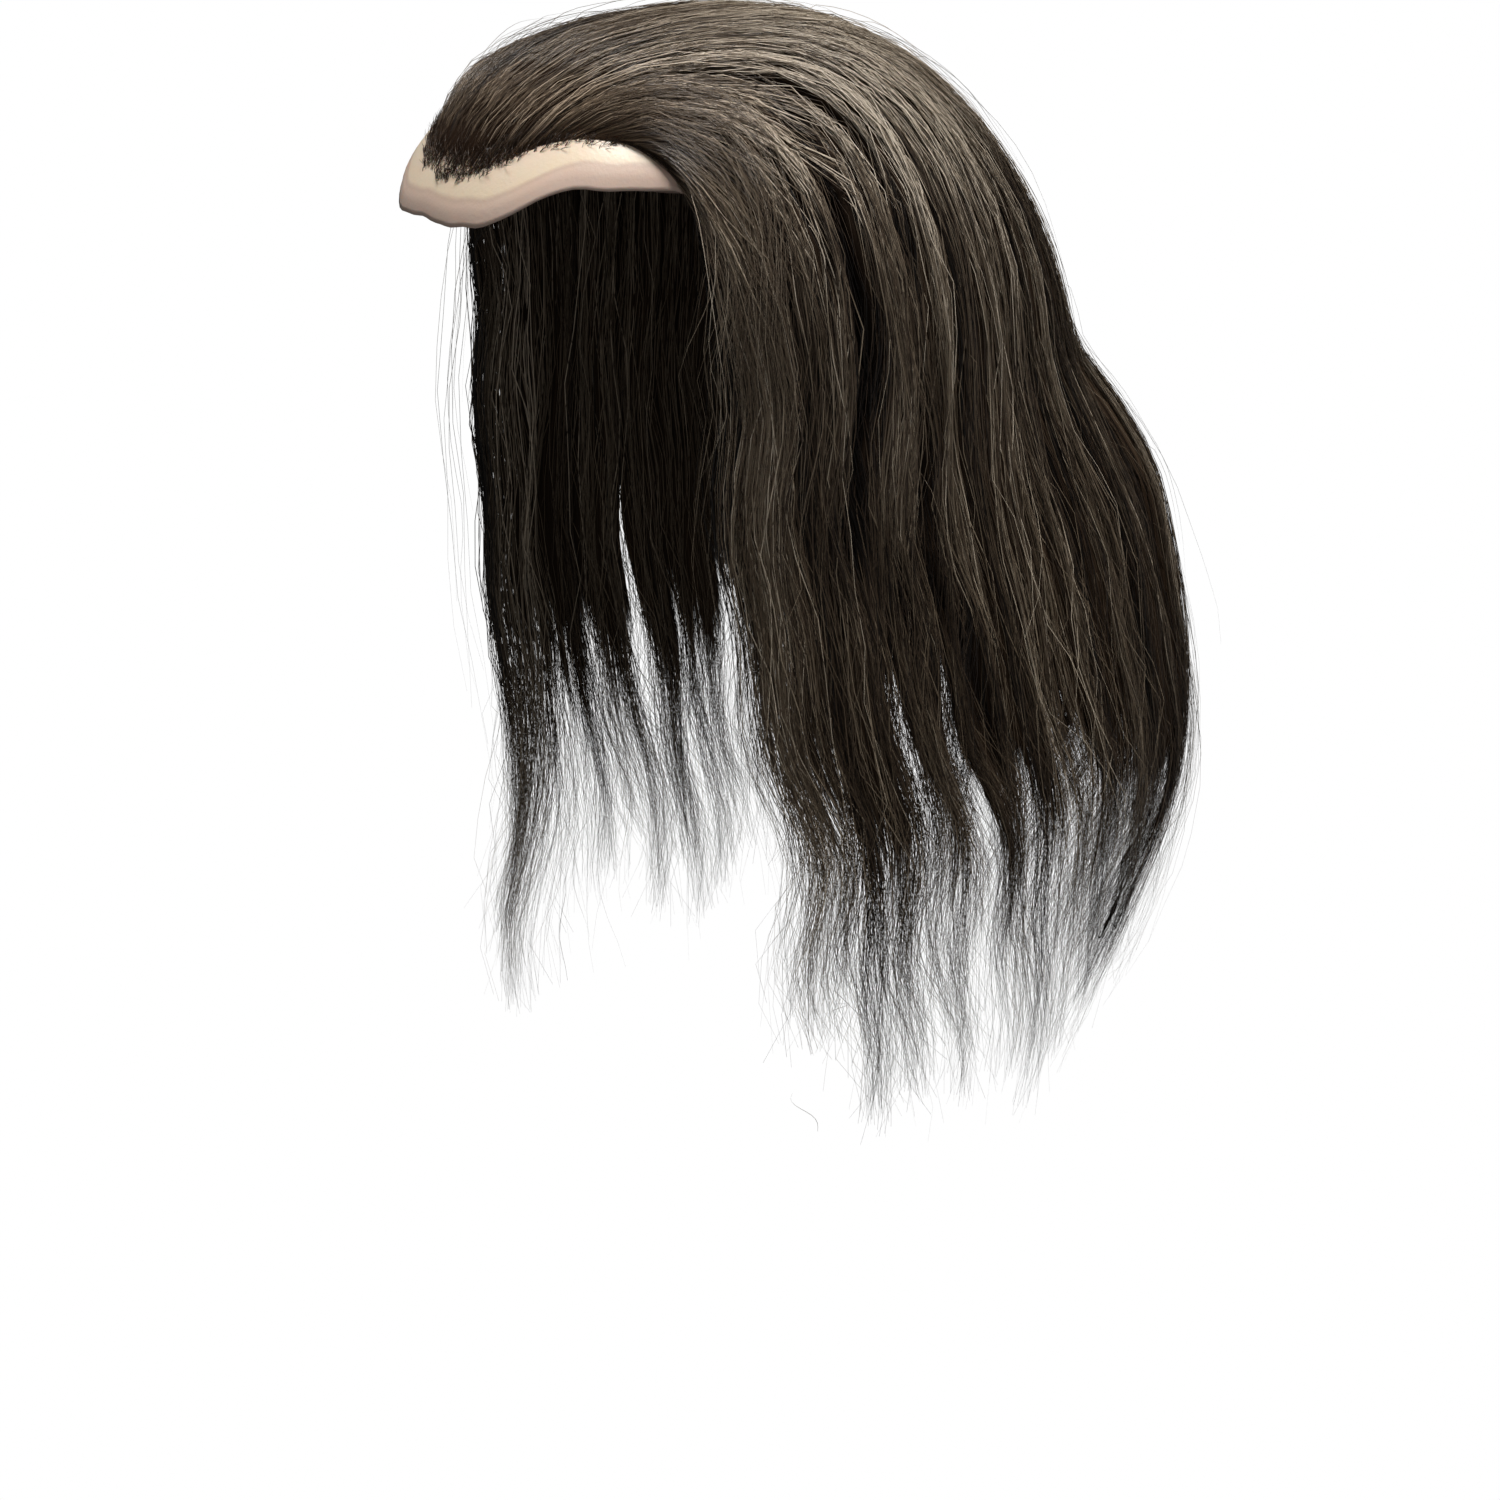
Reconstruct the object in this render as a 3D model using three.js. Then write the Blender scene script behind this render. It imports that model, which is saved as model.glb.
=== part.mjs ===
import * as THREE from 'three';

// Toupee hairpiece, in millimetres. The origin is the crown of the head that it is worn on, at the
// inner face of the base. +Z is up, -Y is the wearer's front and +X is the wearer's left.

// Head form under the base, down to its widest level. All lengths are from the crown's axis.
const HEAD_HALF_BREADTH = 78;
const HEAD_FRONT_LENGTH = 110;
const HEAD_REAR_LENGTH = 90;
const CROWN_HEIGHT = 99;
const FRONT_SQUARENESS = 2.75;
const BACK_SQUARENESS = 2.1;

// Base: a thin skin cap, with a bare lip in front of the hairline.
const SKIN_WALL = 1.0;
const NAPE_DEPTH = 90;
const LIP_DEPTH = 17;

// Hair: how thick the layer is over the skin, by the way that each place on the head faces.
const HAIR_CLEARANCE = 1.2;
const ROOT_THICKNESS = 1.0;
const CROWN_THICKNESS = 4.6;
const SIDE_THICKNESS = 8.8;
const NAPE_THICKNESS = 24;
const BROW_THICKNESS = 4.5;
const TIP_THICKNESS = 2;
const LOCK_GROOVE = 4;

// Hair that hangs below the head's widest level.
const HANG_LENGTH = 254;
const BACK_FLARE = 48;
const SIDE_FLARE = 12;
const BACKWARD_SWAY = 26;
const LOCK_NOTCH = 42;
const ZONE_CLEARANCE = 0.4;

// How the hair is combed: the hairline's half angle seen from above, how far the outermost locks
// come forward at the widest level, and how high the middle and outer locks arch over the head.
// MIDDLE_SPREAD is how much of an even share of the hairline the middle locks are rooted along.
const HAIRLINE_HALF_ANGLE = 56;
const OUTER_LOCK_ANGLE = 68;
const MIDDLE_SPREAD = 0.4;
const ROOT_GATHER = 6;
const MIDDLE_ARCH = 3.6;
const OUTER_ARCH = 0.25;

// The base's rim, from the front (turn 0) round to the nape (turn 1). drop is a share of
// NAPE_DEPTH, and lip is a share of LIP_DEPTH.
const RIM = [
  { turn: 0.0, drop: 0.545, lip: 0.7 },
  { turn: 0.067, drop: 0.545, lip: 0.82 },
  { turn: 0.111, drop: 0.53, lip: 1.0 },
  { turn: 0.156, drop: 0.465, lip: 0.94 },
  { turn: 0.2, drop: 0.41, lip: 0.76 },
  { turn: 0.239, drop: 0.4, lip: 0.7 },
  { turn: 0.278, drop: 0.4, lip: 0.59 },
  { turn: 0.317, drop: 0.415, lip: 0.38 },
  { turn: 0.361, drop: 0.48, lip: 0.1 },
  { turn: 0.444, drop: 0.6, lip: 0.0 },
  { turn: 0.611, drop: 0.71, lip: 0.0 },
  { turn: 0.806, drop: 0.865, lip: 0.0 },
  { turn: 1.0, drop: 1.0, lip: 0.0 },
];

// How a lock hangs. fall is a share of HANG_LENGTH; back, side and sway are shares of BACK_FLARE,
// SIDE_FLARE and BACKWARD_SWAY; body is the share of the layer's extra thickness that is left.
const HANG = [
  { fall: 0.0, back: 0.0, side: 0.0, sway: 0.0, body: 1.0 },
  { fall: 0.1, back: 0.48, side: 0.2, sway: 0.0, body: 0.8 },
  { fall: 0.2, back: 0.8, side: 0.45, sway: 0.05, body: 0.6 },
  { fall: 0.42, back: 1.05, side: 0.9, sway: 0.35, body: 0.4 },
  { fall: 0.6, back: 0.97, side: 1.0, sway: 0.7, body: 0.28 },
  { fall: 0.8, back: 0.37, side: 0.8, sway: 0.95, body: 0.15 },
  { fall: 1.0, back: -0.3, side: 0.4, sway: 1.0, body: 0.0 },
];

// The locks, from the wearer's right temple over the nape to the left temple. width is a share of
// the whole fan, length is a share of HANG_LENGTH and groove is a share of LOCK_GROOVE.
const ZONES = [
  {
    name: 'right_temple_hair',
    locks: [
      { width: 0.9, length: 0.8, groove: 0.7 },
      { width: 1.1, length: 0.9, groove: 0.9 },
      { width: 1.0, length: 0.86, groove: 0.8 },
    ],
  },
  {
    name: 'right_side_hair',
    locks: [
      { width: 1.0, length: 0.92, groove: 1.0 },
      { width: 1.15, length: 0.87, groove: 0.8 },
      { width: 0.9, length: 0.83, groove: 0.9 },
    ],
  },
  {
    name: 'right_crown_hair',
    locks: [
      { width: 1.1, length: 0.9, groove: 1.0 },
      { width: 0.9, length: 0.96, groove: 0.7 },
      { width: 1.0, length: 0.93, groove: 0.9 },
    ],
  },
  {
    name: 'top_hair',
    locks: [
      { width: 0.9, length: 0.99, groove: 0.8 },
      { width: 1.1, length: 0.95, groove: 0.7 },
      { width: 1.0, length: 1.0, groove: 0.9 },
      { width: 0.9, length: 0.97, groove: 0.7 },
      { width: 1.1, length: 1.0, groove: 0.8 },
      { width: 1.0, length: 0.96, groove: 1.0 },
    ],
  },
  {
    name: 'left_crown_hair',
    locks: [
      { width: 1.0, length: 0.98, groove: 0.7 },
      { width: 1.1, length: 0.93, groove: 1.0 },
      { width: 0.9, length: 0.84, groove: 0.9 },
    ],
  },
  {
    name: 'left_side_hair',
    locks: [
      { width: 0.9, length: 0.8, groove: 1.0 },
      { width: 1.1, length: 0.86, groove: 0.9 },
      { width: 1.0, length: 0.9, groove: 0.7 },
    ],
  },
  {
    name: 'left_temple_hair',
    locks: [
      { width: 1.0, length: 0.82, groove: 1.0 },
      { width: 1.1, length: 0.86, groove: 0.8 },
      { width: 0.9, length: 0.76, groove: 0.7 },
    ],
  },
];

// Across a lock: place across its width, height between its groove and its crest, and how much of
// the notch between two tips is cut there.
const LOCK_SECTION = [
  { across: 0.0, height: 0.0, notch: 1.0 },
  { across: 0.25, height: 0.72, notch: 0.38 },
  { across: 0.5, height: 1.0, notch: 0.0 },
  { across: 0.75, height: 0.72, notch: 0.38 },
];

const HEAD_ROWS = 12;
const ARCH_STEPS = 40;
const HANG_ROWS = 10;
const SKIN_RINGS = 9;
const SKIN_SIDES = 40;

const smooth = (x) => THREE.MathUtils.smoothstep(x, 0, 1);

// Reads one column of a table at x, with a smooth curve through its rows.
function readTable(rows, key, x, column) {
  const last = rows.length - 1;
  const slopeAt = (i) => {
    const before = rows[Math.max(i - 1, 0)];
    const after = rows[Math.min(i + 1, last)];
    return (after[column] - before[column]) / (after[key] - before[key]);
  };
  let i = 0;
  while (i < last - 1 && x > rows[i + 1][key]) {
    i += 1;
  }
  const span = rows[i + 1][key] - rows[i][key];
  const u = THREE.MathUtils.clamp((x - rows[i][key]) / span, 0, 1);
  const rise = rows[i + 1][column] - rows[i][column];
  const bend = (slopeAt(i) * span - rise) * (1 - u) + (rise - slopeAt(i + 1) * span) * u;
  return rows[i][column] + rise * u + bend * u * (1 - u);
}

// Point of the head form in direction d, moved out by a height. The form is a superellipsoid,
// squarer at the brow than at the back.
function onHead(d, height) {
  const squareness = THREE.MathUtils.lerp(FRONT_SQUARENESS, BACK_SQUARENESS, (1 + d.y) / 2);
  const power = (x) => Math.abs(x) ** squareness;
  const size = (power(d.x) + power(d.y) + power(d.z)) ** (1 / squareness);
  const reach = d.y > 0 ? HEAD_REAR_LENGTH : HEAD_FRONT_LENGTH;
  return new THREE.Vector3(
    ((HEAD_HALF_BREADTH + height) * d.x) / size,
    ((reach + height) * d.y) / size,
    ((CROWN_HEIGHT + height) * d.z) / size - CROWN_HEIGHT,
  );
}

// Direction at an angle round from the front, tilted down from the crown.
function direction(turn, tilt) {
  return new THREE.Vector3(
    Math.sin(turn) * Math.sin(tilt),
    -Math.cos(turn) * Math.sin(tilt),
    Math.cos(tilt),
  );
}

// The tilt at which the head form has dropped a given height below the crown.
function tiltAtDrop(turn, drop) {
  let low = 0;
  let high = Math.PI / 2;
  for (let step = 0; step < 30; step += 1) {
    const middle = (low + high) / 2;
    if (-onHead(direction(turn, middle), 0).z < drop) {
      low = middle;
    } else {
      high = middle;
    }
  }
  return low;
}

function rimDrop(turn) {
  const share = Math.abs(turn) / Math.PI;
  return NAPE_DEPTH * readTable(RIM, 'turn', share, 'drop');
}

function hairlineDrop(turn) {
  const share = Math.abs(turn) / Math.PI;
  return rimDrop(turn) - LIP_DEPTH * readTable(RIM, 'turn', share, 'lip');
}

// The hair layer's thickness where the head faces direction d.
function layerThickness(d) {
  const sides = SIDE_THICKNESS * d.x ** 2;
  const crown = CROWN_THICKNESS * d.z ** 2;
  const ends = d.y > 0 ? NAPE_THICKNESS * (1 - d.z) : BROW_THICKNESS;
  return crown + sides + ends * d.y ** 2;
}

// One line of hair at place q of the fan, from -1 at the right temple to 1 at the left one.
// It starts at the hairline, arches back over the head to the widest level and hangs from there.
// turned holds the angle that it has turned through at each step of its arch.
function hairLine(q) {
  const side = Math.sign(q) || 1;
  const spread = Math.abs(q);
  const rooted = MIDDLE_SPREAD * spread + (1 - MIDDLE_SPREAD) * spread ** ROOT_GATHER;
  const rootTurn = THREE.MathUtils.degToRad(side * HAIRLINE_HALF_ANGLE * rooted);
  const root = direction(rootTurn, tiltAtDrop(rootTurn, hairlineDrop(rootTurn)));
  const levelTurn = THREE.MathUtils.degToRad(side * (180 - (180 - OUTER_LOCK_ANGLE) * spread));
  const level = direction(levelTurn, Math.PI / 2);
  const arch = THREE.MathUtils.lerp(MIDDLE_ARCH, OUTER_ARCH, spread ** 2);
  const over = level.clone().add(new THREE.Vector3(0, 0, arch));
  const thinning = 1 - 0.55 * smooth((spread - 0.8) / 0.2);
  const turned = [0];
  for (let k = 1; k <= ARCH_STEPS; k += 1) {
    const step = archDirection(root, over, level, (k - 1) / ARCH_STEPS);
    turned.push(turned[k - 1] + step.angleTo(archDirection(root, over, level, k / ARCH_STEPS)));
  }
  return { root, level, over, thinning, turned };
}

// Direction at place u of the curve that leaves root towards over and ends at level.
function archDirection(root, over, level, u) {
  const d = root.clone().multiplyScalar((1 - u) ** 2);
  d.addScaledVector(over, 2 * u * (1 - u));
  return d.addScaledVector(level, u ** 2).normalize();
}

// Direction on a hair line at a share of the whole angle that its arch turns through.
function directionAt(line, share) {
  const angle = share * line.turned[ARCH_STEPS];
  let k = 1;
  while (k < ARCH_STEPS && line.turned[k] < angle) {
    k += 1;
  }
  const part = (angle - line.turned[k - 1]) / (line.turned[k] - line.turned[k - 1]);
  return archDirection(line.root, line.over, line.level, (k - 1 + part) / ARCH_STEPS);
}

// Point on a hair line. along runs 0 to 1 over the head and 1 to 2 down the hanging length, of
// which hang is the share in use. depth is 0 on the layer's outer face and 1 on its inner face.
function hairPoint(line, along, hang, groove, depth) {
  const under = SKIN_WALL + HAIR_CLEARANCE;
  const cut = (thickness) => (groove * LOCK_GROOVE * thickness) / (thickness + 2 * LOCK_GROOVE);
  if (along <= 1) {
    const d = directionAt(line, along);
    const full = layerThickness(d) * line.thinning;
    const thickness = THREE.MathUtils.lerp(ROOT_THICKNESS, full, smooth(along / 0.2));
    return onHead(d, under + (1 - depth) * (thickness - cut(thickness)));
  }
  const d = line.level;
  const fall = (along - 1) * hang;
  const read = (column) => readTable(HANG, 'fall', fall, column);
  const full = layerThickness(d) * line.thinning;
  const thickness = THREE.MathUtils.lerp(TIP_THICKNESS, full, read('body'));
  const flare = BACK_FLARE * read('back') * Math.max(d.y, 0) ** 2 + SIDE_FLARE * read('side') * d.x ** 2;
  const outer = under + full + flare;
  const p = onHead(d, outer - (depth ? thickness : cut(thickness)));
  p.y += BACKWARD_SWAY * read('sway') * (1 - d.y ** 2);
  p.z -= HANG_LENGTH * fall;
  return p;
}

// The columns of every lock in order, each with its place in the fan, its length and its groove.
// Grooves and notches between two locks belong to both, so neighbouring zones share them.
function layOutLocks() {
  const all = ZONES.flatMap((zone) => zone.locks.map((lock) => ({ ...lock, zone: zone.name })));
  const total = all.reduce((sum, lock) => sum + lock.width, 0);
  const columns = [];
  let start = -1;
  all.forEach((lock, i) => {
    const width = (2 * lock.width) / total;
    const before = all[i - 1] ?? lock;
    LOCK_SECTION.forEach((row) => {
      const shared = row.across === 0;
      const length = shared ? Math.min(lock.length, before.length) : lock.length;
      const groove = shared ? Math.max(lock.groove, before.groove) : lock.groove;
      columns.push({
        zone: lock.zone,
        q: start + width * row.across,
        hang: length - (LOCK_NOTCH / HANG_LENGTH) * row.notch,
        groove: groove * (1 - row.height),
      });
    });
    start += width;
  });
  const last = all[all.length - 1];
  const end = { q: 1, hang: last.length - LOCK_NOTCH / HANG_LENGTH, groove: last.groove };
  return { columns, end };
}

// The grid of one face of a zone. Its two outer columns stand back by half the zone clearance.
function zoneGrid(columns, depth) {
  const rows = HEAD_ROWS + HANG_ROWS;
  const alongAt = (k) => (k <= HEAD_ROWS ? k / HEAD_ROWS : 1 + (k - HEAD_ROWS) / HANG_ROWS);
  return columns.map((column, i) => {
    const line = hairLine(column.q);
    const inward = i === 0 ? 1 : i === columns.length - 1 ? -1 : 0;
    const beside = inward ? hairLine(column.q + inward * 0.02) : null;
    return Array.from({ length: rows + 1 }, (unused, k) => {
      const p = hairPoint(line, alongAt(k), column.hang, column.groove, depth);
      if (beside) {
        const towards = hairPoint(beside, alongAt(k), column.hang, column.groove, depth).sub(p);
        p.addScaledVector(towards.normalize(), ZONE_CLEARANCE / 2);
      }
      return p;
    });
  });
}

// Closed solid between an outer and an inner grid of points, both [column][row]. Where the grid
// goes all the way round, its first and last columns meet and the top row is one point.
function solidBetween(outer, inner, round) {
  const positions = [];
  const index = [];
  const number = (grid) => {
    return grid.map((column) => column.map((p) => positions.push(p.x, p.y, p.z) / 3 - 1));
  };
  const out = number(outer);
  const back = number(inner);
  const columns = out.length;
  const rows = out[0].length;
  const strips = round ? columns : columns - 1;
  const quad = (a, b, c, d) => index.push(a, b, c, a, c, d);
  for (let i = 0; i < strips; i += 1) {
    const j = (i + 1) % columns;
    for (let k = 0; k < rows - 1; k += 1) {
      quad(out[i][k], out[j][k], out[j][k + 1], out[i][k + 1]);
      quad(back[j][k], back[i][k], back[i][k + 1], back[j][k + 1]);
    }
    quad(out[i][rows - 1], out[j][rows - 1], back[j][rows - 1], back[i][rows - 1]);
    if (!round) {
      quad(out[j][0], out[i][0], back[i][0], back[j][0]);
    }
  }
  if (round) {
    [out, back].forEach((grid, face) => {
      const top = face === 0 ? onHead(direction(0, 0), SKIN_WALL) : onHead(direction(0, 0), 0);
      const pole = positions.push(top.x, top.y, top.z) / 3 - 1;
      for (let i = 0; i < columns; i += 1) {
        const j = (i + 1) % columns;
        index.push(...(face === 0 ? [pole, grid[j][0], grid[i][0]] : [pole, grid[i][0], grid[j][0]]));
      }
    });
  } else {
    const end = columns - 1;
    for (let k = 0; k < rows - 1; k += 1) {
      quad(out[0][k], out[0][k + 1], back[0][k + 1], back[0][k]);
      quad(out[end][k + 1], out[end][k], back[end][k], back[end][k + 1]);
    }
  }
  const geometry = new THREE.BufferGeometry();
  geometry.setAttribute('position', new THREE.Float32BufferAttribute(positions, 3));
  geometry.setIndex(index);
  geometry.computeVertexNormals();
  return geometry;
}

// One face of the skin cap, in columns that go clockwise seen from above.
function skinGrid(height) {
  return Array.from({ length: SKIN_SIDES }, (unused, i) => {
    const turn = Math.PI - (2 * Math.PI * i) / SKIN_SIDES;
    const tilt = tiltAtDrop(turn, rimDrop(turn));
    return Array.from({ length: SKIN_RINGS }, (none, k) => {
      return onHead(direction(turn, (tilt * (k + 1)) / SKIN_RINGS), height);
    });
  });
}

const toupee = new THREE.Group();

const skinMaterial = new THREE.MeshStandardMaterial({ color: 0xdabfa2, roughness: 0.45, metalness: 0 });
const skin = new THREE.Mesh(solidBetween(skinGrid(SKIN_WALL), skinGrid(0), true), skinMaterial);
skin.name = 'base_skin';
toupee.add(skin);

const { columns, end } = layOutLocks();
ZONES.forEach((zone) => {
  const own = columns.filter((column) => column.zone === zone.name);
  const next = columns[columns.indexOf(own[own.length - 1]) + 1] ?? end;
  const zoneColumns = [...own, next];
  const material = new THREE.MeshStandardMaterial({ color: 0x3d352d, roughness: 0.55, metalness: 0 });
  const geometry = solidBetween(zoneGrid(zoneColumns, 0), zoneGrid(zoneColumns, 1), false);
  const hair = new THREE.Mesh(geometry, material);
  hair.name = zone.name;
  toupee.add(hair);
});

export default toupee;
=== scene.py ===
"""Toupee hairpiece: a thin skin base with long hair combed back from a bare lip.

Metres, +Z up, -Y the wearer's front, +X the wearer's left, and the origin at the crown.
"""
import math

import bpy
import numpy as np
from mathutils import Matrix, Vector


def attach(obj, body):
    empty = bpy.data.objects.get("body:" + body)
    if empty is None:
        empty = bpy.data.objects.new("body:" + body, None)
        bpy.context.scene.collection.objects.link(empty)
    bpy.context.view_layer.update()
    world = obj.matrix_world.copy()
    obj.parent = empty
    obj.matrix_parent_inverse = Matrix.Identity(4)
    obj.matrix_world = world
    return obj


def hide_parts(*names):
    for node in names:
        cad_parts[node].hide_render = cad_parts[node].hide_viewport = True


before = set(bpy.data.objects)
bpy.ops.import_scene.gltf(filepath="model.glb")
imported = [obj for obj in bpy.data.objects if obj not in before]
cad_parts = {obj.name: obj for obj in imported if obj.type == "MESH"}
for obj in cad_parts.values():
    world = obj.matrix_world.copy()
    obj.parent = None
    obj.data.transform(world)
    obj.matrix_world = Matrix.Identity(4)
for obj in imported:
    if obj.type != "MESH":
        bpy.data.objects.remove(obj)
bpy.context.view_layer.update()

# Camera: a long lens at the wearer's left front, a little above the crown, looking down on the
# hairline and along the near side of the hair.
LENS = 70.3
FILM_WIDTH = 36.0
CAMERA_PLACE = (0.7674, -0.5002, 0.0998)
LOOKS_DOWN = 20.08
TURNED = 56.45
camera_data = bpy.data.cameras.new("camera")
camera_data.lens = LENS
camera_data.sensor_width = FILM_WIDTH
camera = bpy.data.objects.new("camera", camera_data)
bpy.context.scene.collection.objects.link(camera)
camera.location = CAMERA_PLACE
camera.rotation_euler = (math.radians(90.0 - LOOKS_DOWN), 0.0, math.radians(TURNED))
bpy.context.scene.camera = camera

# Skin base: a moulded cap of thin clear skin over the crown. Its front lip is left bare, with a
# wavy feathered edge that is glued to the forehead; behind the hairline it is knotted with hair.
HEAD_HALF_BREADTH = 0.078
HEAD_FRONT_LENGTH = 0.110
HEAD_REAR_LENGTH = 0.090
CROWN_HEIGHT = 0.099
HEAD_RADIUS = 0.1
FRONT_SQUARENESS = 2.75
BACK_SQUARENESS = 2.1
SKIN_WALL = 0.001
SKIN_EDGE_WALL = 0.0003
FEATHER_WIDTH = 0.004
NAPE_DEPTH = 0.090
LIP_DEPTH = 0.017
SKIN_SIDES = 160
SKIN_RINGS = 34

# Turn from the front as a share of a half turn, the rim's drop as a share of NAPE_DEPTH and the
# lip's as a share of LIP_DEPTH.
RIM = (
    (0.0, 0.545, 0.7),
    (0.067, 0.545, 0.82),
    (0.111, 0.53, 1.0),
    (0.156, 0.465, 0.94),
    (0.2, 0.41, 0.76),
    (0.239, 0.4, 0.7),
    (0.278, 0.4, 0.59),
    (0.317, 0.415, 0.38),
    (0.361, 0.48, 0.1),
    (0.444, 0.6, 0.0),
    (0.611, 0.71, 0.0),
    (0.806, 0.865, 0.0),
    (1.0, 1.0, 0.0),
)


def smooth(x):
    """Three x squared less two x cubed, with x held between 0 and 1."""
    x = np.clip(x, 0.0, 1.0)
    return x * x * (3.0 - 2.0 * x)


def read_rows(rows, x):
    """Values of a table's columns at x, on a smooth curve through its rows.

    Between two rows it is their chord plus u (1 - u) times what the slopes at its ends depart
    from the chord by, where a row's slope is that of the chord over its two neighbours.
    """
    rows = np.asarray(rows, float)
    x = np.asarray(x, float)
    last = len(rows) - 1
    number = np.arange(last + 1)
    before = rows[np.maximum(number - 1, 0)]
    after = rows[np.minimum(number + 1, last)]
    slope = (after - before) / (after[:, :1] - before[:, :1])
    i = np.clip(np.searchsorted(rows[:, 0], x, side="right") - 1, 0, last - 1)
    span = (rows[i + 1, 0] - rows[i, 0])[..., None]
    u = np.clip((x - rows[i, 0])[..., None] / span, 0.0, 1.0)
    rise = rows[i + 1] - rows[i]
    bend = (slope[i] * span - rise) * (1.0 - u) + (rise - slope[i + 1] * span) * u
    return (rows[i] + rise * u + bend * u * (1.0 - u))[..., 1:]


def direction(turn, tilt):
    """Unit arrow turned round from the front and tilted down from straight up."""
    return np.stack([np.sin(turn) * np.sin(tilt), -np.cos(turn) * np.sin(tilt), np.cos(tilt)], -1)


def on_head(d, height):
    """Point of the head form along each arrow d, its half axes grown by height.

    The form is a superellipsoid: the n-th powers of the arrow's parts are summed, and their n-th
    root divides the arrow. n runs from squarer at the brow to rounder at the back.
    """
    n = FRONT_SQUARENESS + (BACK_SQUARENESS - FRONT_SQUARENESS) * (1.0 + d[..., 1]) / 2.0
    size = (np.abs(d) ** n[..., None]).sum(-1) ** (1.0 / n)
    u = d / size[..., None]
    length = np.where(d[..., 1] > 0.0, HEAD_REAR_LENGTH, HEAD_FRONT_LENGTH) + height
    return np.stack([
        (HEAD_HALF_BREADTH + height) * u[..., 0],
        length * u[..., 1],
        (CROWN_HEIGHT + height) * u[..., 2] - CROWN_HEIGHT,
    ], -1)


def tilt_at_drop(turn, drop):
    """Tilt at which the head form lies a given drop below the crown, by halving."""
    low = np.zeros_like(turn)
    high = np.full_like(turn, math.pi / 2.0)
    for _ in range(26):
        middle = (low + high) / 2.0
        above = -on_head(direction(turn, middle), 0.0)[..., 2] < drop
        low = np.where(above, middle, low)
        high = np.where(above, high, middle)
    return low


def make_piece(name, points, faces, material, maps=None):
    """Mesh object from points and lists of faces with equal corner counts, with uv maps."""
    mesh = bpy.data.meshes.new(name)
    loops = np.concatenate([f.ravel() for f in faces]).astype(np.int32)
    counts = np.concatenate([np.full(len(f), f.shape[1], np.int32) for f in faces])
    starts = np.concatenate([[0], np.cumsum(counts)[:-1]]).astype(np.int32)
    mesh.vertices.add(len(points))
    mesh.vertices.foreach_set("co", np.asarray(points, np.float32).ravel())
    mesh.loops.add(len(loops))
    mesh.loops.foreach_set("vertex_index", loops)
    mesh.polygons.add(len(counts))
    mesh.polygons.foreach_set("loop_start", starts)
    mesh.polygons.foreach_set("use_smooth", np.ones(len(counts), bool))
    for label, values in (maps or {}).items():
        layer = mesh.uv_layers.new(name=label)
        layer.data.foreach_set("uv", np.asarray(values, np.float32)[loops].ravel())
    mesh.update(calc_edges=True)
    mesh.validate()
    mesh.materials.append(material)
    piece = bpy.data.objects.new(name, mesh)
    bpy.context.scene.collection.objects.link(piece)
    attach(piece, "root")
    return piece


def grid_faces(numbers, around=False):
    """Four-cornered faces of a grid of point numbers, [column][row], closed on itself or not."""
    next_column = np.roll(numbers, -1, 0) if around else numbers[1:]
    column = numbers if around else numbers[:-1]
    corners = [column[:, :-1], next_column[:, :-1], next_column[:, 1:], column[:, 1:]]
    return np.stack(corners, -1).reshape(-1, 4)


def new_material(name, roughness, specular):
    """A material with its surface shader's plain values set on the shader's own sockets."""
    material = bpy.data.materials.new(name)
    material.use_nodes = True
    shader = material.node_tree.nodes["Principled BSDF"]
    shader.inputs["Roughness"].default_value = roughness
    shader.inputs["Specular IOR Level"].default_value = specular
    return material, material.node_tree, shader


def add_node(tree, kind, values=None, links=None, **settings):
    """A shader node with its settings, socket values and incoming links."""
    node = tree.nodes.new(kind)
    for key, value in settings.items():
        setattr(node, key, value)
    for key, value in (values or {}).items():
        node.inputs[key].default_value = value
    for key, socket in (links or {}).items():
        tree.links.new(socket, node.inputs[key])
    return node


def add_ramp(tree, factor, stops):
    """A colour ramp through stops of place and colour."""
    ramp = add_node(tree, "ShaderNodeValToRGB", links={"Fac": factor})
    elements = ramp.color_ramp.elements
    while len(elements) < len(stops):
        elements.new(0.5)
    for element, (place, colour) in zip(elements, stops):
        element.position = place
        element.color = (*colour, 1.0)
    return ramp.outputs["Color"]


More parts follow.
